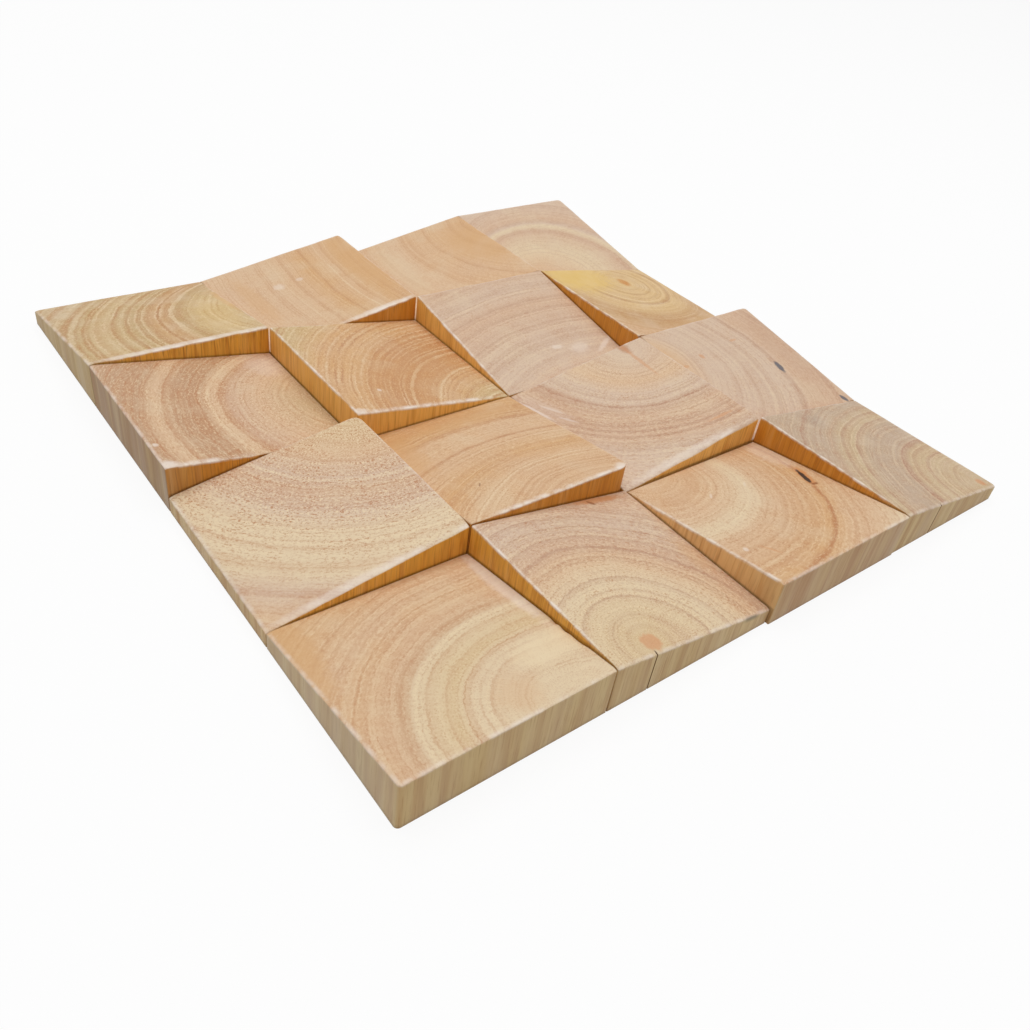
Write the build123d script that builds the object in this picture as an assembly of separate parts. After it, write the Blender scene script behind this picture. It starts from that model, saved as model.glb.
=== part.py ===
from build123d import *
import os

# Wood mosaic panel: sixteen wedge-shaped end-grain blocks glued side by side, four by four.
# Millimetres. Origin at the middle of the panel's underside, +X along the front edge, +Z up.
# Every block is a wedge, sawn thick along one side and thin along the other, and laid with
# its thick side towards the front, back, left or right.

block_width = 74.7    # plan size of one block along X, across its column
block_depth = 74.7    # plan size of one block along Y, across its row
glue_joint = 0.3      # hairline between neighbouring blocks
thin_edge = 7.0       # block thickness along its low side
thick_edge = 19.5     # block thickness along its high side
corner_round = 1.0    # worn round on the upright corners
arris_round = 0.8     # sanded round on the edges of the slanted top
# How far some blocks were set forward of their row when the panel was glued up.
forward_third = 1.2
forward_fourth = 0.8
forward_second_row = 0.6

column_pitch = block_width + glue_joint
row_pitch = block_depth + glue_joint

# Which side of each block stands high, row by row from the front, left to right.
HIGH_SIDES = [
    ["front", "left", "front", "left"],
    ["right", "front", "right", "back"],
    ["left", "left", "back", "left"],
    ["front", "right", "right", "back"],
]
# The sides of a block in turning order, anticlockwise from above.
SIDES = ["left", "front", "right", "back"]
FORWARD = {
    (1, 3): forward_third,
    (1, 4): forward_fourth,
    (2, 3): forward_second_row,
    (2, 4): forward_second_row,
}

rows = len(HIGH_SIDES)
columns = len(HIGH_SIDES[0])
# The farthest-forward front block sets the panel's front, so the origin moves half of that.
front_overhang = max(FORWARD.get((1, column), 0) for column in range(1, columns + 1))


def wedge_block(high_side):
    """One block about its own centre, underside at z = 0, high along the given side."""
    slopes_across_column = high_side in ("left", "right")
    half_run = (block_width if slopes_across_column else block_depth) / 2
    half_breadth = (block_depth if slopes_across_column else block_width) / 2
    section = Polygon(
        (-half_run, 0),
        (half_run, 0),
        (half_run, thin_edge),
        (-half_run, thick_edge),
        align=None,
    )
    solid = extrude(Plane.XZ * section, amount=half_breadth, both=True)
    solid = fillet(solid.edges().filter_by(Axis.Z), corner_round)
    slanted_top = solid.faces().sort_by(Axis.Z)[-1]
    solid = fillet(slanted_top.edges(), arris_round)
    turn = 360 / len(SIDES) * SIDES.index(high_side)
    return Rot(0, 0, turn) * solid


os.makedirs("parts", exist_ok=True)
wedges = {high_side: wedge_block(high_side) for high_side in SIDES}
for row in range(1, rows + 1):
    for column in range(1, columns + 1):
        x = (column - (columns + 1) / 2) * column_pitch
        y = (row - (rows + 1) / 2) * row_pitch + front_overhang / 2 - FORWARD.get((row, column), 0)
        block = Pos(x, y, 0) * wedges[HIGH_SIDES[row - 1][column - 1]]
        export_step(block, f"parts/block_row_{row}_column_{column}.step")
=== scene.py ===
import math

import bmesh
import bpy
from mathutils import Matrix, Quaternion, Vector, noise


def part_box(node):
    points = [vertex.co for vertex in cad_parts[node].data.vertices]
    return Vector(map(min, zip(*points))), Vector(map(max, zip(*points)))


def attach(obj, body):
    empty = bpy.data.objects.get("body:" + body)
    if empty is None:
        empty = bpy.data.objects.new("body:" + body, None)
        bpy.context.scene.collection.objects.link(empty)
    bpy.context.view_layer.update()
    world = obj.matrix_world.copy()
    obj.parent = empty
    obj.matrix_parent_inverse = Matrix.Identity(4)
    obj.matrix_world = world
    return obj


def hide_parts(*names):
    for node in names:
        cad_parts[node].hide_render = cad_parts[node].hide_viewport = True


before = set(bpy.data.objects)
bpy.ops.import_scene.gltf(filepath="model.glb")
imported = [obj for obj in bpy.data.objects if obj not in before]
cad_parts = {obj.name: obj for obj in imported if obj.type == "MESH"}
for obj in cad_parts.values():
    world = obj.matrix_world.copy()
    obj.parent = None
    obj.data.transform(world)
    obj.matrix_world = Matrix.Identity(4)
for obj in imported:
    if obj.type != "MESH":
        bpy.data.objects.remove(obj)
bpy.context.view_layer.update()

# The looks of the wood mosaic panel: sixteen sanded end-grain blocks, each sawn as a wedge.
# Meshes are in metres. A block's own sizes, rings and marks are in millimetres from its middle.
MM = 0.001

# Sizes of one block, in millimetres.
BLOCK_SIDE = 74.7
THIN_EDGE = 7.0
THICK_EDGE = 19.5
CORNER_ROUND = 0.3
CORNER_STEPS = 4
ARRIS_ROUND = 0.35
ARRIS_STEPS = 3
BLANK_SPARE = 6.0
GRID_STEP = 1.5
RIM_CUTS = (0.55, 0.9, 1.4, 2.1)
# What sanding and wear take off the slope and its edges.
SANDED_OFF = 0.12
SLOPE_WAVE = 0.22
OUTER_EASE = 0.5
OUTER_EASE_WIDTH = 2.5
PROUD_WEAR = {"left": 0.3, "right": 0.3, "front": 0.5, "back": 0.3}
PROUD_WEAR_WIDTH = {"left": 1.5, "right": 1.5, "front": 2.3, "back": 1.5}
ROLL_WIDTH = 7.0
CHIP_WIDTH = 1.8
CHECK_HALF_WIDTH = 0.25
CHECK_DEPTH = 0.8
# How coarse the unevenness of sanding and wear is. A smaller scale is broader.
WAVE_SCALE = 0.05
WEAR_SCALE = 0.12
FINE_WEAR_SCALE = 0.6
ROLL_SCALE = 0.06
CHIP_SCALE = 0.35
# How much the wear varies along an edge.
LEAST_WEAR = 0.2
USUAL_WEAR = 0.8
FINE_WEAR = 0.3
# An edge this far above the next block is worn most. A chip tapers off over this length at its ends.
FULL_WEAR_PROUD = 2.0
CHIP_TAPER = 3.0
# Upright edges and level faces are told by their direction.
UPRIGHT = 0.99
LEVEL = 0.9
CUT_TOLERANCE = 1e-7
SHARP_ANGLE = math.radians(50)
# These set each block's grain and wear apart from the others'.
ROW_SEED = 37.0
COLUMN_SEED = 53.0


def tone(red, green, blue):
    """A wood tone on the 0 to 255 scale, as a shader takes it."""
    shares = [value / 255 for value in (red, green, blue)]
    linear = [share / 12.92 if share <= 0.04045 else ((share + 0.055) / 1.055) ** 2.4 for share in shares]
    return (*linear, 1.0)


# Tones of the sapwood and heartwood.
# The palest tone: pale wood in the marks, and a painted highlight on rubbed edges and on the marks along the
# front edges.
PALE_WOOD_AND_HIGHLIGHT = tone(238, 226, 214)
IVORY = tone(232, 211, 174)
CREAM = tone(221, 199, 165)
STRAW = tone(214, 189, 147)
LEMON = tone(220, 184, 106)
WHEAT = tone(200, 172, 124)
BLUSH = tone(210, 184, 160)
ROSE = tone(206, 172, 143)
APRICOT = tone(212, 174, 134)
PEACH = tone(214, 180, 144)
CORN = tone(214, 180, 124)
HONEY = tone(208, 163, 112)
AMBER = tone(198, 146, 94)
SAND = tone(197, 172, 134)
OCHRE = tone(186, 155, 103)
CLAY = tone(188, 150, 116)
TAWNY = tone(196, 156, 106)
ASH = tone(184, 158, 132)
# Tones of the latewood lines, the long grain and the marks.
RUST = tone(176, 114, 66)
MAUVE = tone(168, 120, 94)
BRONZE = tone(172, 116, 54)
PITH_ORANGE = tone(204, 136, 80)
PITH_PINK = tone(210, 150, 104)
PITH_AMBER = tone(198, 134, 56)
# Long grain of the step sides; the orange base tones are deepened with painted warm bounce light between the
# steps.
SAWN_ORANGE = tone(246, 187, 92)
SAWN_AMBER = tone(234, 168, 54)
SAWN_GOLD = tone(214, 138, 28)
SAWN_PALE = tone(234, 186, 122)
SAWN_RUST = tone(184, 108, 16)
SAWN_BROWN = tone(126, 66, 14)
# Long grain of the outer sides, duller and greyer than the step sides as painted light from the white floor.
SAWN_TAN = tone(188, 154, 96)
SAWN_DIM = tone(140, 104, 52)
SAWN_MOSS = tone(172, 142, 82)
SAWN_ROSE = tone(174, 136, 88)
SAWN_STRAW = tone(206, 180, 126)
FLOOR_LIT_GREY = tone(184, 174, 156)
STREAK_BROWN = tone(156, 104, 48)
# Painted shade: at the feet of the steps and of the outer sides, along sunk edges and seams, and inside the
# checks.
SHADE_BROWN = tone(74, 42, 16)
BARK_BLACK = tone(22, 14, 10)
STAIN_BLUE = tone(84, 84, 92)
STAIN_OLIVE = tone(92, 84, 64)

TOWARDS = {
    "left": Vector((-1, 0, 0)),
    "right": Vector((1, 0, 0)),
    "front": Vector((0, -1, 0)),
    "back": Vector((0, 1, 0)),
}

# The blocks by row and column. Rings are (distance from the pith, darkness) and, where they are
# not of the usual width, how far they fade in and out. Pale rings are (distance, strength).
# Tones are (distance from the pith, tone). Marks are (across, along, half width, half length, turn,
# tone, strength, softness of the outline). A chip is (side, from, to, depth) along that side's edge.
# Checks are (across, length on the slope), at the front side. An edge stain is (across, half length,
# reach down the side). The pith is placed from the block's middle, lean draws the rings to one side,
# and reach is the distance over which they are laid out. Fine, speckle, hatch and streak are strengths.
# Marks in the palest tone along a front edge, or at a front corner that stands proud, are sanding wear with a
# painted highlight.
BLOCKS = {
    (1, 1): dict(
        high="front", pith=(19, -38), lean=(0, 0), right_squeeze=0.5, reach=110,
        tones=[(10, CREAM), (29, CREAM), (33, STRAW), (45, CREAM), (51, PEACH), (60, APRICOT),
               (66, PEACH), (92, HONEY)],
        rings=[(15, 0.15), (22, 0.25), (30, 0.45, 3, 0.9), (35.5, 0.2), (41, 0.25), (48, 0.6, 4, 1.5),
               (53, 0.25), (60, 0.2), (67, 0.25), (75, 0.25)],
        pale=[(44, 0.3), (63, 0.25)],
        line=RUST, fine=0.5, speckle=0.25, hatch=0.4, streak=0.7,
        marks=[(35.5, 16, 3, 22, 0, PALE_WOOD_AND_HIGHLIGHT, 0.5, 1.0), (-35, 20, 6, 22, -8, HONEY, 0.6, 1.0),
               (8, -28, 7, 7, 0, APRICOT, 0.45, 1.0), (27, -17, 12, 6, 5, IVORY, 0.6, 1.0)],
        corners={("front", "left"): 1.5},
        outer_grey=0.3,
        chip=("right", -25, -7, 1.0),
    ),
    (1, 2): dict(
        high="left", pith=(-18.5, -32.5), lean=(0.06, -0.03), reach=95,
        tones=[(5, STRAW), (30, CREAM), (42, PEACH), (50, ROSE), (64, BLUSH), (80, ROSE)],
        rings=[(8, 0.2, 3, 2), (14, 0.25), (22.5, 0.35, 3, 0.9), (32, 0.45, 3, 0.9), (43, 0.35),
               (48.5, 0.7, 2.5, 1.2), (55, 0.4), (61, 0.35), (67, 0.45), (73, 0.35)],
        pale=[(17, 0.3), (36, 0.25)],
        line=MAUVE, fine=0.5, speckle=0.6, hatch=0.3, streak=0.8, sawn=SAWN_AMBER,
        marks=[(-18.3, -32.3, 3.7, 3.7, 0, PITH_PINK, 0.7, 0.5),
               (20, 35.6, 12, 1.6, -4, PITH_ORANGE, 0.7, 0.9),
               (16.5, 34.6, 0.8, 1.6, 40, SAWN_BROWN, 0.6, 0.6), (33, -4, 4, 10, 0, HONEY, 0.28, 1.0)],
        edge_stain=(27, 4.5, 3.2),
        checks=[(-20.2, 2.2)],
    ),
    (1, 3): dict(
        high="front", pith=(-22, 45), lean=(-0.14, -0.29), reach=110,
        tones=[(12, APRICOT), (20, APRICOT), (28, PEACH), (36, CREAM), (43, PEACH), (52, APRICOT),
               (64, HONEY),
               (69, APRICOT), (80, PEACH), (92, CREAM)],
        rings=[(19, 0.3, 5, 3), (31, 0.15), (44, 0.3), (49.5, 0.35), (52.5, 0.3, 2, 0.8), (55, 0.3, 2, 0.8),
               (59, 0.3), (64.6, 1.0, 2, 1.0), (75, 0.25, 4, 3)],
        pale=[(36, 0.35), (40, 0.25)],
        line=RUST, fine=0.5, speckle=0.35, hatch=0.35, streak=0.6, sawn=SAWN_PALE, outer=SAWN_ROSE,
        marks=[(30.3, 5.6, 2.0, 7.2, -23, PITH_ORANGE, 0.85, 0.8),
               (29.6, 5.3, 1.1, 5.6, -23, BARK_BLACK, 0.95, 0.5),
               (28.4, -0.8, 1.6, 0.7, -10, SAWN_BROWN, 0.7, 0.8),
               (-31.5, -16, 1.0, 1.1, 0, PALE_WOOD_AND_HIGHLIGHT, 0.5, 0.9), (33, 26, 5, 12, 0, PALE_WOOD_AND_HIGHLIGHT, 0.3, 1.0),
               (-13, 16.5, 1.6, 0.5, 45, PALE_WOOD_AND_HIGHLIGHT, 0.4, 0.9), (5, 15, 1.8, 0.5, 45, PALE_WOOD_AND_HIGHLIGHT, 0.3, 0.9),
               (-24, -21, 0.5, 4, 20, PITH_ORANGE, 0.4, 0.7)],
    ),
    (1, 4): dict(
        high="left", pith=(33, -33), lean=(0, -0.2), reach=125,
        tones=[(8, SAND), (38, SAND), (46, ASH), (60, ASH), (70, SAND), (85, ASH), (115, ASH)],
        rings=[(10, 0.3), (16, 0.45), (21, 0.4), (29.5, 0.8, 3, 0.8), (37, 0.5), (43, 1.0, 5, 1.8),
               (67, 0.7), (74, 0.65), (81, 0.6), (96, 0.65)],
        pale=[(26, 0.3), (48, 0.35), (64, 0.25)],
        line=MAUVE, fine=0.6, speckle=0.3, hatch=0.3, streak=0.8, sawn=SAWN_GOLD,
        marks=[(30.5, -33, 2.2, 2.3, 0, PITH_ORANGE, 0.7, 0.8), (-10, 28, 6, 4, 20, STAIN_BLUE, 0.12, 1.0)],
        corners={("front", "right"): 1.8},
        checks=[(-12, 0.6)],
    ),
    (2, 1): dict(
        high="right", pith=(45, 55), lean=(0, 0), reach=140,
        tones=[(20, STRAW), (42, PEACH), (54, BLUSH), (62, ROSE), (70, BLUSH), (82, CREAM), (100, CREAM),
               (108, BLUSH), (118, PEACH)],
        rings=[(37, 0.2, 4, 2), (45, 0.25, 4, 2), (53, 0.25, 5, 2), (61, 0.25, 4, 2), (69, 0.3, 4, 2),
               (80, 0.2),
               (90, 0.25), (98, 0.3, 4, 2), (109, 0.4, 4, 2)],
        pale=[(56, 0.35), (87, 0.35)],
        line=RUST, fine=0.5, speckle=1.1, speckle_fade=(75, 105), hatch=0.15, streak=0.8,
        sawn=SAWN_AMBER,
        # The pale band along the front edge is sanding wear with a painted highlight on the rolled edge.
        marks=[(-22, -34, 12, 3, 0, RUST, 0.14, 1.0), (-8, -36, 24, 1.6, 0, PALE_WOOD_AND_HIGHLIGHT, 0.35, 1.0)],
        corners={("back", "right"): 4.0},
        front_roll=0.8,
    ),
    (2, 2): dict(
        high="front", pith=(22, -56.5), lean=(-0.16, -0.31), reach=150,
        tones=[(30, APRICOT), (60, APRICOT), (74, HONEY), (88, APRICOT), (112, APRICOT), (118, HONEY),
               (130, HONEY)],
        rings=[(35.5, 0.25), (42, 0.25), (45, 0.35), (48.5, 0.5, 1.5, 0.8), (68, 0.25), (73, 0.4),
               (79, 0.25), (94.5, 0.85, 3, 1.2), (115, 0.5, 3, 6), (130, 0.4, 10, 3)],
        pale=[(59.5, 0.45), (62, 0.25), (104, 0.3)],
        line=RUST, fine=0.65, speckle=0.35, hatch=0.25, streak=0.9, sawn=SAWN_GOLD,
        marks=[(-30, 18, 8, 18, 0, HONEY, 0.6, 1.0), (5, 31, 30, 6, 0, HONEY, 0.5, 1.0),
               # The pale spot at the front right corner is sanding wear with a painted highlight on the
               # rounded corner.
               (-19, -17.5, 0.35, 1.2, -40, SAWN_BROWN, 0.6, 0.6), (34, -36, 3, 2, 0, PALE_WOOD_AND_HIGHLIGHT, 0.5, 1.0)],
        corners={("front", "right"): 4.0},
    ),
    (2, 3): dict(
        high="right", pith=(25, 34), lean=(0.07, 0.16), reach=115,
        tones=[(8, BLUSH), (30, PEACH), (40, BLUSH), (48, BLUSH), (58, ROSE), (76, ROSE), (84, BLUSH),
               (95, BLUSH)],
        rings=[(17.5, 0.2), (45, 0.4), (51.5, 0.9, 2.5, 1.2), (56, 0.45), (67.5, 0.5), (72, 0.5),
               (75.5, 0.8, 1.5, 1.0), (81, 0.3), (85, 0.35)],
        pale=[(62, 0.3), (78, 0.2)],
        line=MAUVE, fine=0.5, speckle=0.5, hatch=0.25, streak=0.7,
        marks=[(25, 35, 2.2, 4.5, 0, RUST, 0.6, 0.8), (24.5, 24, 0.9, 13, -3, PITH_ORANGE, 0.4, 0.8),
               (-31, 22, 4, 14, 18, PALE_WOOD_AND_HIGHLIGHT, 0.22, 1.0), (-34.5, 22, 0.7, 9, 12, PALE_WOOD_AND_HIGHLIGHT, 0.7, 0.9),
               (-29, 20, 0.6, 5, 25, PALE_WOOD_AND_HIGHLIGHT, 0.5, 0.9),
               (-27.5, 10, 0.6, 4, 28, PALE_WOOD_AND_HIGHLIGHT, 0.5, 0.9), (-29, 18, 6, 16, 22, RUST, 0.2, 1.0),
               (-21, 27, 4, 11, 25, RUST, 0.2, 1.0),
               (25, -27, 6, 0.8, -3, PITH_ORANGE, 0.45, 0.8),
               # The pale band along the front edge is sanding wear with a painted highlight on the rolled
               # edge.
               (-5, -35.5, 26, 1.8, 0, PALE_WOOD_AND_HIGHLIGHT, 0.4, 1.0)],
        front_roll=1.4,
    ),
    (2, 4): dict(
        high="back", pith=(-48, 20), lean=(-0.05, -0.18), reach=120,
        tones=[(14, APRICOT), (28, BLUSH), (69, BLUSH), (74, ROSE), (92, ROSE)],
        rings=[(28, 0.2), (41, 0.25), (50, 0.4, 3, 1.0), (54, 0.2), (59, 0.35, 4, 2), (70, 0.6, 3, 1.6),
               (91, 0.4)],
        line=MAUVE, fine=0.35, speckle=0.2, hatch=0.25, streak=0.5,
        marks=[(17.5, -5, 1.4, 3.6, -8, STAIN_BLUE, 0.9, 0.6),
               (32.4, -34.5, 1.2, 2.4, 10, STAIN_BLUE, 0.9, 0.6),
               (-17, 15, 1.2, 1.6, 0, PITH_ORANGE, 0.5, 0.9), (8.5, 19, 2.2, 0.8, 0, PITH_ORANGE, 0.4, 0.9),
               (-31, 12, 2.0, 0.9, 0, PITH_ORANGE, 0.4, 0.9), (32, 8, 9, 30, 0, MAUVE, 0.16, 1.0)],
        corners={("back", "right"): 2.0},
    ),
    (3, 1): dict(
        high="left", pith=(48, -1), lean=(0.01, -0.24), reach=115,
        tones=[(15, SAND), (34, PEACH), (48, ROSE), (52.5, PEACH), (56.5, PEACH), (60, CLAY), (70, CLAY),
               (78, PEACH), (84, CLAY), (100, CLAY)],
        rings=[(51.5, 0.65, 7, 0.9), (60.5, 0.55, 2, 4), (64, 0.45, 2, 1), (68, 0.4, 2, 1), (75, 0.6, 3, 0.8),
               (83, 0.5), (88, 0.5), (93, 0.45), (98, 0.5, 2, 1)],
        line=RUST, fine=0.6, speckle=0.65, hatch=0.15, streak=1.2, sawn=SAWN_GOLD, outer=SAWN_DIM,
        marks=[(30, 27, 8, 9, 0, PALE_WOOD_AND_HIGHLIGHT, 0.25, 1.0), (-35, -23, 0.9, 1.0, 0, PALE_WOOD_AND_HIGHLIGHT, 0.6, 0.9),
               # The pale spot at the front left corner is sanding wear with a painted highlight on the proud
               # corner.
               (-35.5, -35.5, 3.5, 2, 0, PALE_WOOD_AND_HIGHLIGHT, 0.7, 1.0), (-14, 2, 5, 22, 0, RUST, 0.15, 1.0)],
    ),
    (3, 2): dict(
        high="left", pith=(36, -62), lean=(0.16, 0.19), reach=125,
        tones=[(25, WHEAT), (37, HONEY), (50, AMBER), (70, AMBER), (82, HONEY), (95, HONEY), (110, WHEAT)],
        rings=[(33, 0.4), (39, 0.45), (48, 0.3), (54.5, 0.4), (60, 0.35), (63.5, 0.45),
               (68.5, 0.45), (75, 0.35), (88, 0.25), (93, 0.25)],
        pale=[(44, 0.25), (78, 0.4), (97, 0.25)],
        line=RUST, fine=1.0, speckle=0.4, hatch=0.25, streak=0.6,
        marks=[(6, -6, 28, 14, 40, AMBER, 0.4, 1.0), (-18.5, -22, 0.8, 1.0, 0, PALE_WOOD_AND_HIGHLIGHT, 0.5, 0.8),
               # The pale spot at the front left corner is sanding wear with a painted highlight on the proud
               # corner.
               (-35, -35.5, 3, 1.6, 0, PALE_WOOD_AND_HIGHLIGHT, 0.5, 1.0)],
    ),
    (3, 3): dict(
        high="back", pith=(14, -110), lean=(-0.01, -0.11), reach=190,
        tones=[(70, BLUSH), (110, BLUSH), (140, ROSE), (155, BLUSH), (170, ROSE)],
        rings=[(99, 0.3, 3, 1), (111, 0.45, 5, 1.5), (115, 0.25), (124, 0.45), (128, 0.2),
               (135.5, 0.45, 2, 1.2),
               (143.5, 0.45, 3, 2), (155, 0.3, 3, 4), (163, 0.25), (168.5, 0.3)],
        line=MAUVE, fine=0.45, speckle=0.25, hatch=0.25, streak=0.6,
        marks=[(6, -17, 3, 1.3, -10, PALE_WOOD_AND_HIGHLIGHT, 0.4, 1.0), (17, -21, 5, 3, 0, PALE_WOOD_AND_HIGHLIGHT, 0.3, 1.0),
               (31, -23, 7, 1.2, 30, PALE_WOOD_AND_HIGHLIGHT, 0.45, 1.0)],
    ),
    (3, 4): dict(
        high="left", pith=(8, 21), lean=(-0.1, 0), reach=80,
        tones=[(4, CORN), (26, CORN), (33, CORN), (41, TAWNY), (50, TAWNY), (60, APRICOT)],
        rings=[(10, 0.4, 2, 1), (16, 0.55, 2, 1), (21, 0.5, 2, 1), (27.5, 1.0, 3, 1.2), (33, 0.2),
               (46, 0.3, 4, 3)],
        line=BRONZE, fine=0.6, speckle=0.2, hatch=0.2, streak=0.8, sawn=SAWN_GOLD,
        marks=[(8.5, 20.5, 3.0, 4.2, 0, PITH_AMBER, 0.95, 0.8), (-20, 28, 22, 15, 12, LEMON, 0.95, 1.0),
               (-16, -26, 26, 12, -15, BRONZE, 0.22, 1.0)],
    ),
    (4, 1): dict(
        high="front", pith=(86, 0), lean=(-0.41, -0.30), reach=130,
        tones=[(45, WHEAT), (54, OCHRE), (58, TAWNY), (63, TAWNY), (66, OCHRE), (80, WHEAT), (84, OCHRE),
               (95, SAND),
               (110, OCHRE)],
        rings=[(53.5, 0.5, 2, 0.8), (60.5, 0.75, 3, 0.8), (63.5, 0.5, 1.5, 0.8), (67, 0.5, 1.5, 0.8),
               (70.5, 0.5, 1.5, 0.8), (74.8, 0.7, 2, 0.8), (80, 0.4, 2, 0.8), (83.5, 0.7, 2, 0.8),
               (90, 0.7, 3, 0.8), (97, 0.8, 2, 1.2)],
        pale=[(56.5, 0.2), (65, 0.2), (77, 0.25), (87, 0.2)],
        line=BRONZE, fine=0.9, speckle=0.3, hatch=0.2, streak=1.1, sawn=SAWN_AMBER, outer=SAWN_MOSS,
        marks=[(36, 5, 2, 14, 0, HONEY, 0.7, 0.9), (26, -10, 10, 26, -10, LEMON, 0.25, 1.0),
               # The pale band along the front edge is sanding wear with a painted highlight on the edge.
               (2, -36, 38, 1.5, 0, PALE_WOOD_AND_HIGHLIGHT, 0.5, 1.0)],
    ),
    (4, 2): dict(
        high="right", pith=(113, 2), lean=(0.48, -0.03), reach=300,
        tones=[(140, HONEY), (165, HONEY), (182, APRICOT), (200, HONEY), (216, APRICOT), (235, PEACH),
               (260, PEACH)],
        rings=[(160, 0.4), (178, 0.3), (198, 0.5, 2, 1.5), (221, 0.8, 2, 1), (244, 0.3, 4, 4), (256, 0.25)],
        pale=[(173, 0.3), (184, 0.4), (231, 0.2)],
        line=RUST, fine=0.4, speckle=0.2, hatch=0.25, streak=0.9, sawn=SAWN_GOLD,
        marks=[(32, 5, 8, 26, 0, HONEY, 0.55, 1.0), (-10, 9, 2.5, 2.5, 0, PALE_WOOD_AND_HIGHLIGHT, 0.35, 1.0),
               (1, 9.5, 1.6, 1.4, 0, PALE_WOOD_AND_HIGHLIGHT, 0.35, 1.0), (-24, 5, 4, 22, 3, HONEY, 0.4, 1.0),
               # The pale band along the front edge is sanding wear with a painted highlight on the edge.
               (19, -36, 18, 1.5, 0, PALE_WOOD_AND_HIGHLIGHT, 0.5, 1.0)],
    ),
    (4, 3): dict(
        high="right", pith=(57, 29), lean=(0.25, -0.24), reach=150,
        tones=[(25, HONEY), (50, APRICOT), (82, APRICOT), (90, PEACH), (98, PEACH), (106, APRICOT),
               (120, PEACH)],
        rings=[(32, 0.3), (42.5, 0.35, 4, 3), (65, 0.3), (79, 0.2), (84, 0.3, 4, 1.2),
               (103.5, 0.25, 2, 2), (113, 0.2)],
        line=RUST, fine=0.3, speckle=0.15, hatch=0.25, streak=0.7,
        marks=[(27, 4, 14, 22, 15, HONEY, 0.6, 1.0), (-19, 5, 6, 30, -3, CREAM, 0.45, 1.0)],
    ),
    (4, 4): dict(
        high="back", pith=(-26, -28), lean=(0.38, -0.02), reach=120,
        tones=[(10, PEACH), (28, CREAM), (42, ROSE), (46, CREAM), (49, BLUSH), (53, ROSE), (70, BLUSH)],
        rings=[(29, 0.15), (43, 0.25, 5, 2), (50.5, 0.3, 2.5, 3), (67, 0.3)],
        line=MAUVE, fine=0.3, speckle=0.15, hatch=0.2, streak=0.5,
    ),
}
# Widths of the rings, in millimetres, and how dark the wood stays between two that meet.
USUAL_FADE_IN = 3.5
USUAL_FADE_OUT = 0.8
LINE_HALF_WIDTH = 0.65
PALE_HALF_WIDTH = 0.9
VALLEY_SHARE = 0.35

# Figures of the grain, in millimetres or for each millimetre.
GRAIN_STRETCH = 0.06
STREAK_STRETCH = 0.045
RING_WAVE = 3.2
RING_WAVE_SCALE = 0.045
LINE_JITTER = 0.35
OUTLINE_WOBBLE = 0.2
NEAREST_TURN = 40.0
# How close the figures lie along the rings, given twice, and across them.
STRETCH_SHAPE = (0.06, 0.06, 0.22)
RAY_SHAPE = (1.0, 1.0, 0.15)
DASH_SHAPE = (0.9, 0.9, 1.5)
DOT_SHAPE = (1.0, 1.0, 0.5)
# How strongly each figure shows.
DRIFT_SHARE = 0.25
FINE_DARK = 0.62
FINE_PALE = 0.5
LEAST_RAYS = 0.03
RAY_DARK = 0.15
RAY_PALE = 0.18
DOT_SHARE = 0.45
DASH_SHARE = 0.55
LEAST_PORES = 0.14
PORE_GAIN = 0.55
MOST_PORES = 0.85
# Sawn sides with painted bounce and floor light, rubbed edges with a painted highlight, dark seams with
# painted shade at the steps, and the surface.
SAWN_COVER = 0.94
DULL_COVER = 0.8
STREAK_START = 0.56
STREAK_WIDENING = 0.06
STREAK_SPREAD = 0.17
NARROW_STREAK_GAIN = 0.4
WIDE_STREAK_GAIN = 0.55
MOST_STREAKS = 0.6
OUTER_RUBBED_HIGHLIGHT = 0.6
SEAM_AND_STEP_SHADE = 0.32
CHECK_SHADE = 0.8
PORE_RELIEF = 0.6
RAY_RELIEF = 0.4
RELIEF_STRENGTH = 0.3
RELIEF_DEPTH = 0.0004
WOOD_IOR = 1.45


def beside(row, column, side):
    """The block on that side of a block, or nothing at the edge of the panel."""
    step = TOWARDS[side]
    neighbour = (row + round(step.y), column + round(step.x))
    return neighbour if neighbour in BLOCKS else None


def middle_of(row, column):
    """The middle of a block's footprint, on its underside."""
    low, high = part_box(f"block_row_{row}_column_{column}")
    return Vector(((low.x + high.x) / 2, (low.y + high.y) / 2, 0.0))


def grain_seed(row, column):
    """Where a block's grain and wear are taken from, a different place for each block."""
    return Vector((ROW_SEED * row, COLUMN_SEED * column, 0.0))


MIDDLES = {spot: middle_of(*spot) for spot in BLOCKS}
# How far the rubbed pale line reaches in from each side, and how pale it is there. It is sanding wear and a
# painted highlight, strongest on the front and left edges, which face the camera.
RUBBED_HIGHLIGHT_WIDTH = {"left": 1.5, "right": 1.3, "front": 2.6, "back": 1.4}
RUBBED_HIGHLIGHT_SHARE = {"left": 0.9, "right": 0.4, "front": 1.0, "back": 0.35}
HALF_SIDE = BLOCK_SIDE / 2
SLOPE = (THICK_EDGE - THIN_EDGE) / (2 * HALF_SIDE)
MID_HEIGHT = (THICK_EDGE + THIN_EDGE) / 2


def slope_of(row, column):
    """Which way a block's slope rises, in millimetres of height for each millimetre along."""
    return TOWARDS[BLOCKS[row, column]["high"]] * SLOPE


def neighbour_slope(neighbour, middle):
    """The next block's slope, and its height over this block's middle."""
    shift = (middle - MIDDLES[neighbour]) / MM
    their_slope = slope_of(*neighbour)
    return their_slope, MID_HEIGHT + their_slope.dot(shift)


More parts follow.
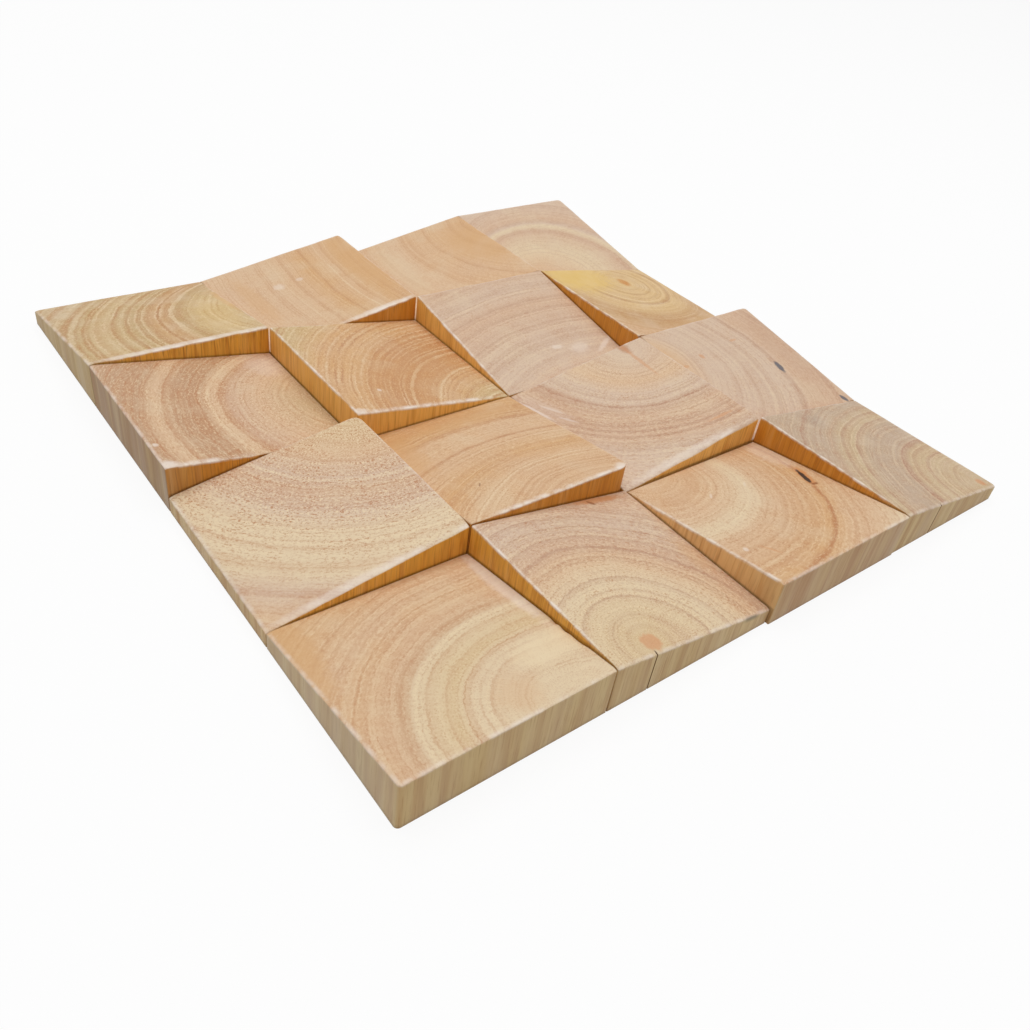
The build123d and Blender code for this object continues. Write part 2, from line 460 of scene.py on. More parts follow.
class Finish:
    """One wood finish, put together from shader nodes."""

    def __init__(self, name):
        self.material = bpy.data.materials.new(name)
        self.material.use_nodes = True
        self.tree = self.material.node_tree
        self.tree.nodes.clear()

    def feed(self, socket, value):
        if isinstance(value, bpy.types.NodeSocket):
            self.tree.links.new(value, socket)
        else:
            socket.default_value = value

    def node(self, kind, inputs=None, **settings):
        made = self.tree.nodes.new(kind)
        for setting, value in settings.items():
            setattr(made, setting, value)
        for socket, value in (inputs or {}).items():
            self.feed(made.inputs[socket], value)
        return made

    def math(self, operation, first, second=0.0, clamp=False):
        made = self.node("ShaderNodeMath", {0: first, 1: second}, operation=operation, use_clamp=clamp)
        return made.outputs[0]

    def vector(self, operation, first, second=(0, 0, 0)):
        return self.node("ShaderNodeVectorMath", {0: first, 1: second}, operation=operation).outputs["Vector"]

    def dot(self, first, second):
        made = self.node("ShaderNodeVectorMath", {0: first, 1: second}, operation="DOT_PRODUCT")
        return made.outputs["Value"]

    def length(self, first):
        return self.node("ShaderNodeVectorMath", {0: first}, operation="LENGTH").outputs["Value"]

    def rise(self, value, start, end, low=0.0, high=1.0):
        """Goes smoothly from low to high as the value goes from start to end."""
        made = self.node(
            "ShaderNodeMapRange",
            {"Value": value, "From Min": start, "From Max": end, "To Min": low, "To Max": high},
            interpolation_type="SMOOTHSTEP",
        )
        return made.outputs["Result"]

    def cloud(self, place, scale, detail=2.0, roughness=0.5):
        made = self.node(
            "ShaderNodeTexNoise",
            {"Vector": place, "Scale": scale, "Detail": detail, "Roughness": roughness},
            noise_dimensions="3D",
        )
        return made.outputs[0]

    def lines(self, distance, scale, detail=2.0, roughness=0.6):
        made = self.node(
            "ShaderNodeTexNoise",
            {"W": distance, "Scale": scale, "Detail": detail, "Roughness": roughness},
            noise_dimensions="1D",
        )
        return made.outputs[0]

    def blend(self, share, first, second):
        """Mixes two colours. The node's colour sockets are inputs 6 and 7 and output 2."""
        made = self.node("ShaderNodeMix", {0: share}, data_type="RGBA")
        self.feed(made.inputs[6], first)
        self.feed(made.inputs[7], second)
        return made.outputs[2]

    def ramp(self, value, stops):
        made = self.node("ShaderNodeValToRGB", {"Fac": value})
        elements = made.color_ramp.elements
        elements.remove(elements[1])
        elements[0].position = stops[0][0]
        elements[0].color = stops[0][1]
        for position, colour in stops[1:]:
            elements.new(position).color = colour
        return made.outputs["Color"]


def grey(value):
    return (value, value, value, 1.0)


def ring_stops(rings, reach):
    """The dark latewood lines as stops of a ramp from the pith outwards."""
    stops = [(0.0, grey(0.0))]
    faded_at = 0.0
    last_strength = 0.0
    for radius, strength, *fades in rings:
        fade_in, fade_out = fades or (USUAL_FADE_IN, USUAL_FADE_OUT)
        start = radius - fade_in
        if start > faded_at:
            if faded_at > 0:
                stops.append((faded_at / reach, grey(0.0)))
            stops.append((start / reach, grey(0.0)))
        else:
            valley = VALLEY_SHARE * min(strength, last_strength)
            stops.append(((start + faded_at) / 2 / reach, grey(valley)))
        stops.append((radius / reach, grey(strength)))
        faded_at = radius + fade_out
        last_strength = strength
    stops.append((faded_at / reach, grey(0.0)))
    return stops


def line_stops(rings, reach, half_width):
    """The same rings as narrow lines, for a ramp from the pith outwards."""
    stops = [(0.0, grey(0.0))]
    for index, (radius, strength, *_) in enumerate(rings):
        before = rings[index - 1][0] if index else 0.0
        start = max(radius - half_width, (radius + before) / 2)
        stops.append((start / reach, grey(0.0)))
        stops.append((radius / reach, grey(strength)))
        after = rings[index + 1][0] if index + 1 < len(rings) else reach
        stops.append((min(radius + half_width, (radius + after) / 2) / reach, grey(0.0)))
    return stops


class EndGrain(Finish):
    """Sanded end grain with its own rings on the slope, and long grain down the sawn sides."""

    def __init__(self, name, row, column):
        super().__init__(name)
        self.spot = (row, column)
        self.block = BLOCKS[self.spot]
        self.lay_out_block()
        self.lay_out_rings()
        self.lay_rings()
        self.lay_fine_lines()
        self.lay_pores()
        self.lay_marks()
        self.lay_sides()
        self.lay_front_edge()
        self.sand_surface()

    def lay(self, share, colour):
        """Lays a colour over the wood, as strongly as its share says."""
        self.wood = self.blend(share, self.wood, colour)

    def lay_out_block(self):
        """Places in millimetres from the block's middle, and depths below its slope."""
        self.seed = grain_seed(*self.spot)
        object_place = self.node("ShaderNodeTexCoord").outputs["Object"]
        self.place = self.node(
            "ShaderNodeMapping",
            {"Vector": object_place, "Location": -MIDDLES[self.spot] / MM, "Scale": (1 / MM, 1 / MM, 1 / MM)},
        ).outputs["Vector"]
        self.flat = self.vector("MULTIPLY", self.place, (1, 1, 0))
        self.height = self.node("ShaderNodeSeparateXYZ", {0: self.place}).outputs[2]
        self.normal = self.node("ShaderNodeNewGeometry").outputs["Normal"]
        self.own_height = self.math("ADD", self.dot(self.flat, tuple(slope_of(*self.spot))), MID_HEIGHT)
        self.depth = self.math("SUBTRACT", self.own_height, self.height)
        # Grain runs straight down through the block, so its figures are stretched that way.
        self.down = self.vector("ADD", self.vector("MULTIPLY", self.place, (1, 1, GRAIN_STRETCH)), self.seed)
        self.patchy = self.cloud(self.down, 0.09, 3.0, 0.6)
        self.wobble = self.rise(self.cloud(self.down, 0.5, 2.0), 0.2, 0.8, -OUTLINE_WOBBLE, OUTLINE_WOBBLE)

    def ring_distance(self, flat):
        """How far out a point lies from the pith, along rings that lean to one side."""
        lean = self.block["lean"]
        out = self.vector("SUBTRACT", flat, (*self.block["pith"], 0))
        if "right_squeeze" in self.block:
            across = self.node("ShaderNodeSeparateXYZ", {0: out}).outputs[0]
            rightward = self.math("MAXIMUM", across, 0.0)
            drawn_in = self.math("MULTIPLY", rightward, self.block["right_squeeze"] - 1)
            out = self.vector("ADD", out, self.node("ShaderNodeCombineXYZ", {0: drawn_in}).outputs[0])
        along = self.dot(out, (*lean, 0))
        spare = 1 - lean[0] ** 2 - lean[1] ** 2
        square = self.math("MULTIPLY", self.dot(out, out), spare)
        root = self.math("SQRT", self.math("ADD", square, self.math("MULTIPLY", along, along)))
        return self.math("DIVIDE", self.math("SUBTRACT", root, along), spare)

    def lay_out_rings(self):
        """Distances from the pith, a little wavy, and places along and across the rings."""
        wave = self.node(
            "ShaderNodeTexNoise",
            {"Vector": self.down, "Scale": RING_WAVE_SCALE, "Detail": 2.0},
            noise_dimensions="3D",
        )
        self.drift = wave.outputs[0]
        waver = self.vector("SUBTRACT", wave.outputs["Color"], (0.5, 0.5, 0.5))
        waver = self.vector("MULTIPLY", waver, (RING_WAVE, RING_WAVE, 0.0))
        bent = self.vector("ADD", self.flat, waver)
        self.distance = self.ring_distance(bent)
        jitter = self.rise(self.cloud(self.down, 0.7, 2.0, 0.6), 0.25, 0.75, -LINE_JITTER, LINE_JITTER)
        self.rough_distance = self.math("ADD", self.distance, jitter)
        pith = self.block["pith"]
        outward = self.vector("NORMALIZE", self.vector("SUBTRACT", bent, (*pith, 0)))
        turn_scale = max(NEAREST_TURN, math.hypot(*pith))
        around = self.vector("MULTIPLY", outward, (turn_scale, turn_scale, 0))
        upright = self.node("ShaderNodeCombineXYZ", {2: self.distance}).outputs[0]
        self.polar = self.vector("ADD", self.vector("ADD", around, upright), self.seed)
        self.stretches = self.cloud(self.vector("MULTIPLY", self.polar, STRETCH_SHAPE), 1.0, 2.0, 0.6)

    def lay_rings(self):
        """Growth rings: soft bands that end in a narrow line, stronger here and there."""
        block = self.block
        reach = block["reach"]
        share = self.math("DIVIDE", self.distance, reach)
        rough_share = self.math("DIVIDE", self.rough_distance, reach)
        self.wood = self.ramp(share, [(radius / reach, colour) for radius, colour in block["tones"]])
        self.lay(self.rise(self.drift, 0.5, 0.7, 0.0, DRIFT_SHARE), ROSE)
        self.lay(self.rise(self.drift, 0.5, 0.3, 0.0, DRIFT_SHARE), CREAM)
        band = self.ramp(share, ring_stops(block["rings"], reach))
        line = self.ramp(rough_share, line_stops(block["rings"], reach, LINE_HALF_WIDTH))
        band = self.math("MULTIPLY", band, self.rise(self.patchy, 0.3, 0.7, 0.5, 0.95))
        line = self.math("MULTIPLY", line, self.rise(self.stretches, 0.32, 0.62, 0.4, 1.1))
        self.lay(self.math("MAXIMUM", band, line, clamp=True), block["line"])
        if "pale" in block:
            pale_line = self.ramp(rough_share, line_stops(block["pale"], reach, PALE_HALF_WIDTH))
            pale_line = self.math("MULTIPLY", pale_line, self.rise(self.stretches, 0.65, 0.4, 0.4, 1.2))
            self.lay(pale_line, IVORY)

    def lay_fine_lines(self):
        """Fine growth lines between the rings, and the hatch of rays that crosses them."""
        block = self.block
        fine_lines = self.lines(self.rough_distance, 0.6, 3.0, 0.65)
        fine_patch = self.rise(self.stretches, 0.3, 0.65, 0.15, 1.0)
        fine_dark = self.rise(fine_lines, 0.52, 0.66, 0.0, FINE_DARK * block["fine"])
        fine_pale = self.rise(fine_lines, 0.48, 0.34, 0.0, FINE_PALE * block["fine"])
        self.lay(self.math("MULTIPLY", fine_dark, fine_patch), block["line"])
        self.lay(self.math("MULTIPLY", fine_pale, fine_patch), IVORY)
        self.rays = self.cloud(self.vector("MULTIPLY", self.polar, RAY_SHAPE), 1.0, 1.0, 0.6)
        self.lay(self.rise(self.rays, 0.5, 0.72, 0.0, LEAST_RAYS + RAY_DARK * block["hatch"]), block["line"])
        self.lay(self.rise(self.rays, 0.5, 0.28, 0.0, LEAST_RAYS + RAY_PALE * block["hatch"]), IVORY)

    def lay_pores(self):
        """Pores, as fine dots in rows along the rings."""
        block = self.block
        dots = self.cloud(self.vector("MULTIPLY", self.down, DOT_SHAPE), 1.9, 1.0, 0.6)
        dashes = self.cloud(self.vector("MULTIPLY", self.polar, DASH_SHAPE), 1.0, 1.0, 0.6)
        dotted = self.math("MULTIPLY", dots, DOT_SHARE)
        self.pores = self.math("ADD", dotted, self.math("MULTIPLY", dashes, DASH_SHARE))
        rows = self.rise(self.lines(self.distance, 0.9, 2.0, 0.5), 0.36, 0.62, 0.55, 1.15)
        rows = self.math("MULTIPLY", rows, self.rise(self.patchy, 0.3, 0.65, 0.65, 1.1))
        if "speckle_fade" in block:
            rows = self.math("MULTIPLY", rows, self.rise(self.distance, *block["speckle_fade"], 1.0, 0.4))
        pore_share = min(MOST_PORES, LEAST_PORES + PORE_GAIN * block["speckle"])
        self.lay(self.math("MULTIPLY", self.rise(self.pores, 0.51, 0.63, 0.0, pore_share), rows), RUST)
        self.lay(self.math("MULTIPLY", self.rise(self.pores, 0.49, 0.37, 0.0, pore_share), rows), IVORY)

    def lay_marks(self):
        """Marks of this one block: pith, stains, bark and flecks, with slightly ragged outlines."""
        for mark in self.block.get("marks", []):
            across, along, half_width, half_length, turn, colour, strength, softness = mark
            centred = self.vector("SUBTRACT", self.flat, (across, along, 0))
            turned = self.node(
                "ShaderNodeMapping", {"Vector": centred, "Rotation": (0, 0, -math.radians(turn))}
            ).outputs["Vector"]
            out = self.length(self.vector("MULTIPLY", turned, (1 / half_width, 1 / half_length, 0)))
            ragged = self.math("ADD", out, self.wobble)
            self.lay(self.rise(ragged, 1.0 + softness / 2, 1.0 - softness / 2, 0.0, strength), colour)

    def step_side_bounce_lit(self, streaks, wide_streaks, broad_streaks):
        """Warm long grain with brown streaks, on the steps between the blocks, its orange deepened with
        painted warm bounce light.
        """
        strength = self.block["streak"]
        side = self.blend(SAWN_COVER, self.wood, self.block.get("sawn", SAWN_ORANGE))
        side = self.blend(self.rise(broad_streaks, 0.5, 0.34, 0.0, 0.2), side, SAWN_PALE)
        side = self.blend(self.rise(broad_streaks, 0.5, 0.66, 0.0, 0.14), side, SAWN_BROWN)
        # Painted shade: the step side turns browner the deeper it lies below the block's own slope.
        side = self.blend(self.rise(self.depth, 2.0, 11.0, 0.0, 0.1), side, SAWN_BROWN)
        wide_share = min(MOST_STREAKS, WIDE_STREAK_GAIN * strength)
        side = self.blend(self.rise(wide_streaks, 0.47, 0.66, 0.0, wide_share), side, SAWN_RUST)
        start = STREAK_START - STREAK_WIDENING * strength
        narrow_share = min(MOST_STREAKS, NARROW_STREAK_GAIN * strength)
        narrow_streaks = self.rise(streaks, start, start + STREAK_SPREAD, 0.0, narrow_share)
        return self.blend(narrow_streaks, side, SAWN_BROWN)

    def outer_side_floor_lit(self, streaks, broad_streaks):
        """Duller long grain on the outside of the panel, with painted light from the white floor, and painted
        shade at the foot.
        """
        straw_share = 0.3 if "outer" in self.block else 0.6
        dull = self.blend(DULL_COVER, self.wood, self.block.get("outer", SAWN_TAN))
        dull = self.blend(self.rise(broad_streaks, 0.52, 0.36, 0.0, straw_share), dull, SAWN_STRAW)
        dull = self.blend(self.rise(broad_streaks, 0.5, 0.68, 0.0, 0.3), dull, STREAK_BROWN)
        dull = self.blend(self.rise(streaks, 0.53, 0.68, 0.0, 0.4), dull, STREAK_BROWN)
        # Painted shade: darker towards the floor over the lowest 1.8 mm.
        return self.blend(self.rise(self.height, 1.8, 0.0, 0.0, 0.3), dull, SHADE_BROWN)

    def lay_sides(self):
        """Sawn sides, with edges rubbed pale and given a painted highlight where they stand proud, and dark
        seams with painted shade along sunk edges and at the feet of the steps.
        """
        streak_place = self.vector("MULTIPLY", self.place, (1, 1, STREAK_STRETCH))
        streak_place = self.vector("ADD", streak_place, self.seed)
        streaks = self.cloud(streak_place, 1.6, 2.0, 0.6)
        wide_streaks = self.cloud(streak_place, 0.7, 2.0, 0.6)
        broad_streaks = self.cloud(streak_place, 0.25, 2.0, 0.6)
        side = self.step_side_bounce_lit(streaks, wide_streaks, broad_streaks)
        dull = self.outer_side_floor_lit(streaks, broad_streaks)
        pale = 0.0
        dark = 0.0
        for side_name, toward in TOWARDS.items():
            to_side = self.math("SUBTRACT", HALF_SIDE, self.dot(self.flat, tuple(toward)))
            turned = self.dot(self.normal, tuple(toward))
            neighbour = beside(*self.spot, side_name)
            if neighbour is None:
                # Painted light: near the panel's outer edge the step sides take the duller outer colour, as
                # they get less warm bounce light there.
                less_bounce_near_outside = self.rise(to_side, 20.0, 0.0, 0.0, 0.4)
                outer = self.math("MAXIMUM", self.rise(turned, 0.35, 0.65), less_bounce_near_outside)
                side = self.blend(outer, side, dull)
                # Painted light: the outer left side is greyed as if lit by the white floor.
                if side_name == "left" and "outer_grey" in self.block:
                    floor_greyed = self.rise(turned, 0.6, 0.95, 0.0, self.block["outer_grey"])
                    side = self.blend(floor_greyed, side, FLOOR_LIT_GREY)
                # Sanding wear and a painted highlight: a pale line along the outer top edges.
                pale = self.math("MAXIMUM", self.rise(to_side, 1.7, 0.4, 0.0, OUTER_RUBBED_HIGHLIGHT), pale)
                continue
            their_slope, their_middle = neighbour_slope(neighbour, MIDDLES[self.spot])
            their_height = self.math("ADD", self.dot(self.flat, tuple(their_slope)), their_middle)
            proud = self.math("SUBTRACT", self.own_height, their_height)
            # Sanding wear and a painted highlight on edges that stand proud of the next block.
            at_side = self.rise(to_side, RUBBED_HIGHLIGHT_WIDTH[side_name], 0.3, 0.0, RUBBED_HIGHLIGHT_SHARE[side_name])
            rubbed_highlight_side = self.math("MULTIPLY", at_side, self.rise(proud, 0.8, 3.0))
            pale = self.math("MAXIMUM", rubbed_highlight_side, pale)
            # Painted shade: a dark line along this block's top edge where it sits level with or below the
            # next block, and at the foot of each step face.
            sunk_edge_shade = self.math("MULTIPLY", self.rise(to_side, 0.6, 0.25), self.rise(proud, 1.6, -1.0))
            above = self.math("SUBTRACT", self.height, their_height)
            foot = self.math("MULTIPLY", self.rise(turned, 0.6, 0.95), self.rise(above, 0.6, 0.0))
            dark = self.math("MAXIMUM", self.math("MAXIMUM", sunk_edge_shade, foot), dark)
        upward = self.dot(self.normal, (0, 0, 1))
        self.lay(self.rise(upward, 0.75, 0.3), side)
        # The pale rubbed edges, sanding wear with a painted highlight, in patches.
        rubbed = self.math("MULTIPLY", pale, self.rise(self.depth, 1.6, 0.7))
        rubbed_highlight_patches = self.rise(self.cloud(self.down, 0.16, 3.0, 0.6), 0.36, 0.66, 0.1, 0.9)
        self.lay(self.math("MULTIPLY", rubbed, rubbed_highlight_patches), PALE_WOOD_AND_HIGHLIGHT)
        # Painted shade along the seams, sunk edges and feet of the steps.
        self.lay(self.math("MULTIPLY", dark, SEAM_AND_STEP_SHADE), SHADE_BROWN)

    def off_line(self, across):
        """How far a point lies to either side of a line that runs front to back."""
        return self.math("ABSOLUTE", self.math("SUBTRACT", self.dot(self.flat, (1, 0, 0)), across))

    def lay_front_edge(self):
        """Drying checks, darkened inside with painted shade, and a stain at the front edge."""
        front_gap = self.math("ADD", self.dot(self.flat, (0, 1, 0)), HALF_SIDE)
        for across, length in self.block.get("checks", []):
            near_front = self.rise(front_gap, length, length / 2)
            opened = self.math("MULTIPLY", self.rise(self.off_line(across), 0.35, 0.15), near_front)
            # Painted shade inside the open check.
            self.lay(self.math("MULTIPLY", opened, CHECK_SHADE), SHADE_BROWN)
        if "edge_stain" in self.block:
            across, half_length, reach_down = self.block["edge_stain"]
            stain = self.math("DIVIDE", self.off_line(across), half_length)
            stain = self.rise(self.math("ADD", stain, self.wobble), 1.0, 0.3)
            stain = self.math("MULTIPLY", stain, self.rise(self.depth, reach_down, 1.0))
            stain = self.math("MULTIPLY", stain, self.rise(self.depth, 0.3, 0.9))
            stain = self.math("MULTIPLY", stain, self.rise(front_gap, 1.0, 0.3, 0.0, 0.65))
            self.lay(stain, STAIN_OLIVE)

    def sand_surface(self):
        """The sanded surface, with fine relief of pores and rays and a patchy dull sheen."""
        pore_relief = self.math("MULTIPLY", self.pores, PORE_RELIEF)
        relief = self.math("ADD", pore_relief, self.math("MULTIPLY", self.rays, RAY_RELIEF))
        bump = self.node(
            "ShaderNodeBump", {"Strength": RELIEF_STRENGTH, "Distance": RELIEF_DEPTH, "Height": relief}
        )
        sheen = self.rise(self.patchy, 0.3, 0.7, 0.42, 0.6)
        shader = self.node(
            "ShaderNodeBsdfPrincipled",
            {"Base Color": self.wood, "Roughness": sheen, "Normal": bump.outputs["Normal"], "IOR": WOOD_IOR},
        )
        output = self.node("ShaderNodeOutputMaterial")
        self.feed(output.inputs["Surface"], shader.outputs["BSDF"])


def every_part(bm, without_underside=False):
    """All of a block's geometry for a saw cut, with or without its flat underside."""
    faces = [face for face in bm.faces if not (without_underside and face.normal.z < -LEVEL)]
    return bm.verts[:] + bm.edges[:] + faces


def saw_wedge(low, high, middle, high_side):
    """A square blank, sawn off along the slope."""
    bm = bmesh.new()
    bmesh.ops.create_cube(bm, size=1.0)
    height = (THICK_EDGE + BLANK_SPARE) * MM
    bmesh.ops.scale(bm, vec=(high.x - low.x, high.y - low.y, height), verts=bm.verts)
    bmesh.ops.translate(bm, vec=middle + Vector((0, 0, height / 2)), verts=bm.verts)
    toward = TOWARDS[high_side]
    slope = (THICK_EDGE - THIN_EDGE) * MM / (high.x - low.x)
    across = Vector((-toward.x * slope, -toward.y * slope, 1.0)).normalized()
    on_slope = middle + Vector((0, 0, MID_HEIGHT * MM))
    cut = bmesh.ops.bisect_plane(
        bm, geom=every_part(bm), plane_co=on_slope, plane_no=across, clear_outer=True
    )
    rim = [part for part in cut["geom_cut"] if isinstance(part, bmesh.types.BMEdge)]
    bmesh.ops.contextual_create(bm, geom=rim)
    bm.normal_update()
    return bm


def round_edges(bm, corner_rounds, middle):
    """Rounds the upright corners, then the arris all round the slope."""
    for side in ("left", "right"):
        for end in ("front", "back"):
            outward = TOWARDS[side] + TOWARDS[end]
            upright = []
            for edge in bm.edges:
                first, second = edge.verts
                spot = (first.co + second.co) / 2 - middle
                run = (first.co - second.co).normalized()
                if abs(run.z) > UPRIGHT and spot.x * outward.x > 0 and spot.y * outward.y > 0:
                    upright.append(edge)
            bmesh.ops.bevel(
                bm, geom=upright, offset=corner_rounds.get((end, side), CORNER_ROUND) * MM,
                offset_type="OFFSET", affect="EDGES", segments=CORNER_STEPS, profile=0.5, material=-1,
            )
            bm.normal_update()
    rim = [edge for edge in bm.edges if sum(face.normal.z > LEVEL for face in edge.link_faces) == 1]
    bmesh.ops.bevel(
        bm, geom=rim, offset=ARRIS_ROUND * MM, offset_type="OFFSET", affect="EDGES",
        segments=ARRIS_STEPS, profile=0.5, material=-1,
    )
    bm.normal_update()


def cut_grid(bm, low, high, checks):
    """Fine cuts both ways over the slope and sides, for the unevenness of hand sanding."""
    for axis in (0, 1):
        along = Vector((1, 0, 0)) if axis == 0 else Vector((0, 1, 0))
        inset = RIM_CUTS[-1] + GRID_STEP
        span = (high[axis] - low[axis]) / MM
        count = round((span - 2 * inset) / GRID_STEP)
        cuts = [inset + (span - 2 * inset) * step / count for step in range(count + 1)]
        cuts += list(RIM_CUTS) + [span - cut for cut in RIM_CUTS]
        if axis == 0:
            for across, _ in checks:
                cuts += [span / 2 + across + offset for offset in (-CHECK_HALF_WIDTH, 0, CHECK_HALF_WIDTH)]
        for cut in cuts:
            at_cut = low + along * cut * MM
            top_and_sides = every_part(bm, without_underside=True)
            bmesh.ops.bisect_plane(
                bm, geom=top_and_sides, dist=CUT_TOLERANCE, plane_co=at_cut, plane_no=along
            )
    bm.normal_update()


def worn_away(spot, row, column, middle, lines):
    """How much wood sanding, wear and chips have taken off the slope at one spot, in millimetres."""
    block = BLOCKS[row, column]
    own = MID_HEIGHT + spot.dot(slope_of(row, column))
    drop = SANDED_OFF + SLOPE_WAVE * (0.5 + 0.5 * noise.noise(lines * WAVE_SCALE))
    broad_wear = USUAL_WEAR + USUAL_WEAR * noise.noise(lines * WEAR_SCALE)
    uneven = max(LEAST_WEAR, broad_wear + FINE_WEAR * noise.noise(lines * FINE_WEAR_SCALE))
    for side, toward in TOWARDS.items():
        inward = HALF_SIDE - spot.dot(toward)
        neighbour = beside(row, column, side)
        if neighbour is None:
            drop += OUTER_EASE * max(0.0, 1.0 - inward / OUTER_EASE_WIDTH) ** 2
            continue
        their_slope, their_middle = neighbour_slope(neighbour, middle)
        proud = own - their_middle - spot.dot(their_slope)
        worn = min(1.0, max(0.0, proud / FULL_WEAR_PROUD))
        drop += worn * uneven * PROUD_WEAR[side] * max(0.0, 1.0 - inward / PROUD_WEAR_WIDTH[side]) ** 2
    roll = max(0.0, 1.0 - (HALF_SIDE + spot.y) / ROLL_WIDTH) ** 2
    drop += block.get("front_roll", 0.0) * roll * (0.8 + 0.5 * noise.noise(lines * ROLL_SCALE))
    if "chip" in block:
        side, start, end, deep = block["chip"]
        toward = TOWARDS[side]
        along = spot.y if toward.x else spot.x
        within = min(along - start, end - along)
        ragged = 0.6 + 0.8 * noise.noise(lines * CHIP_SCALE)
        inward = HALF_SIDE - spot.dot(toward)
        drop += deep * ragged * min(1.0, max(0.0, within / CHIP_TAPER)) * max(0.0, 1.0 - inward / CHIP_WIDTH)
    return drop


def sand(bm, row, column, middle):
    """Lowers the slope and its arris where sanding and wear took wood away, and opens the checks."""
    seed = grain_seed(row, column)
    rising = slope_of(row, column)
    checks = BLOCKS[row, column].get("checks", [])
    for vert in bm.verts:
        spot = (vert.co - middle) / MM
        from_front = HALF_SIDE + spot.y
        on_top = MID_HEIGHT + spot.dot(rising) - spot.z < 2 * ARRIS_ROUND
        if on_top:
            lines = Vector((spot.x, spot.y, 0)) + seed
            vert.co.z -= worn_away(spot, row, column, middle, lines) * MM
        for across, length in checks:
            if abs(spot.x - across) > CHECK_HALF_WIDTH / 5 or from_front > length:
                continue
            if from_front < 2 * ARRIS_ROUND:
                vert.co.y += CHECK_DEPTH * MM
            elif on_top:
                vert.co.z -= CHECK_DEPTH * (1 - from_front / length) * MM
    bm.normal_update()


def make_block(row, column):
    """One sanded block with its finish, in place of its plain node."""
    node = f"block_row_{row}_column_{column}"
    block = BLOCKS[row, column]
    low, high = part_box(node)
    middle = MIDDLES[row, column]
    bm = saw_wedge(low, high, middle, block["high"])
    round_edges(bm, block.get("corners", {}), middle)
    cut_grid(bm, low, high, block.get("checks", []))
    sand(bm, row, column, middle)
    mesh = bpy.data.meshes.new(f"end_grain_row_{row}_column_{column}")
    bm.to_mesh(mesh)
    bm.free()
    mesh.shade_smooth()
    mesh.set_sharp_from_angle(angle=SHARP_ANGLE)
    piece = bpy.data.objects.new(mesh.name, mesh)
    bpy.context.scene.collection.objects.link(piece)
    finish = EndGrain(f"end_grain_{row}_{column}", row, column)
    piece.data.materials.append(finish.material)
    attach(piece, "root")
    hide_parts(node)


for block_row, block_column in BLOCKS:
    make_block(block_row, block_column)

# White floor. What the camera and mirrors see of it is mostly plain white, with the panel's soft shadow.
FLOOR_SIDE = 20.0
FLOOR_SQUARES = 4
FLOOR_PLAIN = 0.9
PAPER_GREY = 0.88
floor_bm = bmesh.new()
bmesh.ops.create_grid(
    floor_bm, x_segments=FLOOR_SQUARES, y_segments=FLOOR_SQUARES, size=FLOOR_SIDE / 2
)
floor_mesh = bpy.data.meshes.new("studio_floor")
floor_bm.to_mesh(floor_mesh)
floor_bm.free()
floor = bpy.data.objects.new("studio_floor", floor_mesh)
bpy.context.scene.collection.objects.link(floor)


def seen_directly(finish):
    """1 for what the camera, mirrors and glass see, 0 for light that falls on the panel."""
    path = finish.node("ShaderNodeLightPath")
    mirrored = finish.math("MAXIMUM", path.outputs["Is Glossy Ray"], path.outputs["Is Transmission Ray"])
    return finish.math("MAXIMUM", path.outputs["Is Camera Ray"], mirrored)


paper = Finish("white_paper")
paper_shade = paper.node("ShaderNodeBsdfDiffuse", {"Color": grey(PAPER_GREY)})
paper_white = paper.node("ShaderNodeEmission", {"Color": grey(1.0), "Strength": 1.0})
paper_mix = paper.node("ShaderNodeMixShader")
paper.feed(paper_mix.inputs[0], paper.math("MULTIPLY", seen_directly(paper), FLOOR_PLAIN))
paper.feed(paper_mix.inputs[1], paper_shade.outputs[0])
paper.feed(paper_mix.inputs[2], paper_white.outputs[0])
paper_output = paper.node("ShaderNodeOutputMaterial")
paper.feed(paper_output.inputs["Surface"], paper_mix.outputs[0])
floor.data.materials.append(paper.material)

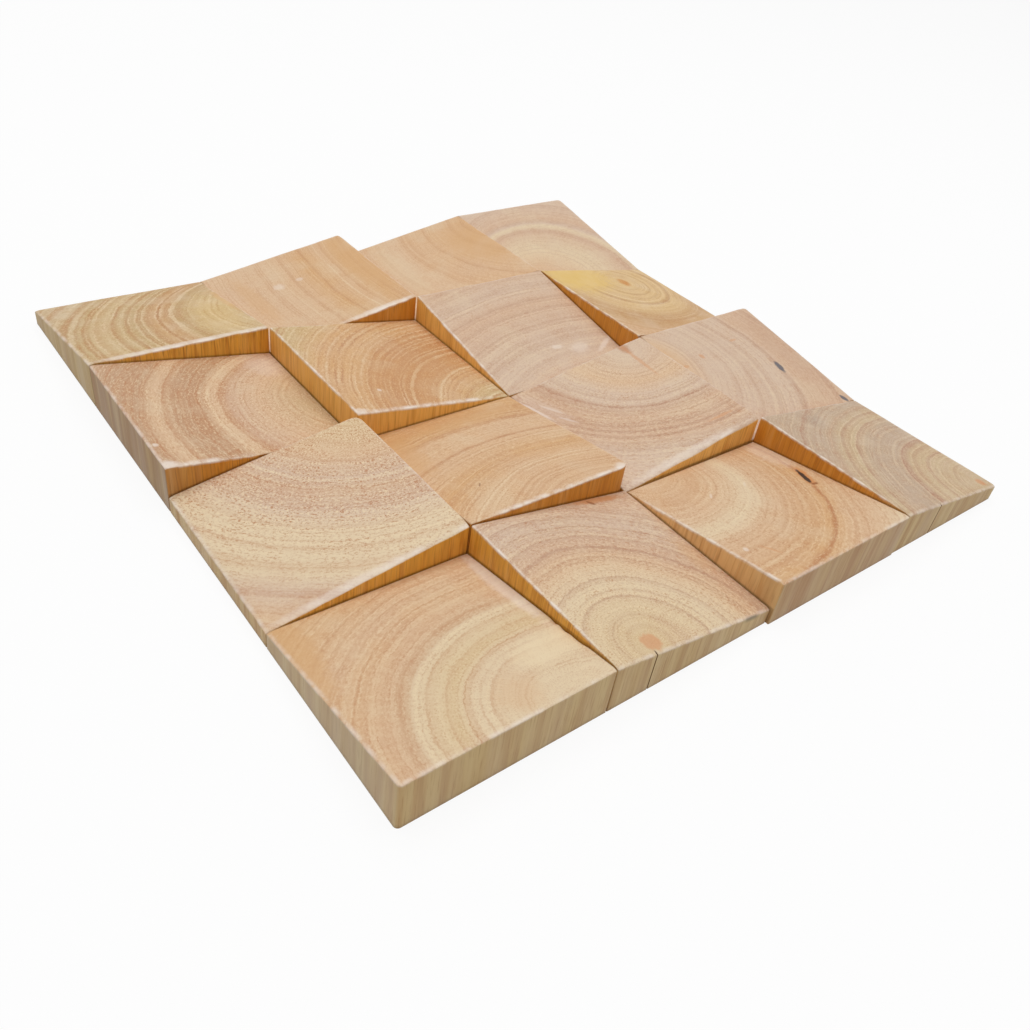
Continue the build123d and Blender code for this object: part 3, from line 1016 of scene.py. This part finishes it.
# Light: one wide soft lamp overhead, and a plain white room.
ROOM_LIGHT = 0.4
LAMP_SIDE = 1.6
LAMP_HEIGHT = 1.5
LAMP_BACK = 0.1
LAMP_POWER = 17.5
lamp_data = bpy.data.lights.new("overhead_softbox", "AREA")
lamp_data.shape = "SQUARE"
lamp_data.size = LAMP_SIDE
lamp_data.energy = LAMP_POWER
lamp = bpy.data.objects.new("overhead_softbox", lamp_data)
lamp.location = (0.0, LAMP_BACK, LAMP_HEIGHT)
bpy.context.scene.collection.objects.link(lamp)

room = bpy.data.worlds.new("white_room")
room.use_nodes = True
room.node_tree.nodes.clear()
bpy.context.scene.world = room


class RoomFinish(Finish):
    """The white room around the panel, put together as a finish is."""

    def __init__(self, world):
        self.tree = world.node_tree


white_room = RoomFinish(room)
room_lit = white_room.node("ShaderNodeBackground", {"Color": grey(1.0), "Strength": ROOM_LIGHT})
room_seen = white_room.node("ShaderNodeBackground", {"Color": grey(1.0), "Strength": 1.0})
room_mix = white_room.node("ShaderNodeMixShader")
white_room.feed(room_mix.inputs[0], seen_directly(white_room))
white_room.feed(room_mix.inputs[1], room_lit.outputs[0])
white_room.feed(room_mix.inputs[2], room_seen.outputs[0])
room_output = white_room.node("ShaderNodeOutputWorld")
white_room.feed(room_output.inputs["Surface"], room_mix.outputs[0])

# Camera, close over the near corner and a little tipped.
CAMERA_PLACE = Vector((-0.2325, -0.2622, 0.2210))
CAMERA_AIM = Vector((-0.0418, -0.0598, 0.0))
CAMERA_ROLL = math.radians(9.4)
CAMERA_LENS = 32.88
SENSOR_WIDTH = 36.0
camera_data = bpy.data.cameras.new("camera")
camera_data.sensor_width = SENSOR_WIDTH
camera_data.lens = CAMERA_LENS
camera = bpy.data.objects.new("camera", camera_data)
camera.location = CAMERA_PLACE
camera.rotation_mode = "QUATERNION"
looking = (CAMERA_AIM - CAMERA_PLACE).to_track_quat("-Z", "Y")
camera.rotation_quaternion = looking @ Quaternion((0, 0, 1), CAMERA_ROLL)
bpy.context.scene.collection.objects.link(camera)
bpy.context.scene.camera = camera

bpy.context.scene.view_settings.view_transform = "Standard"
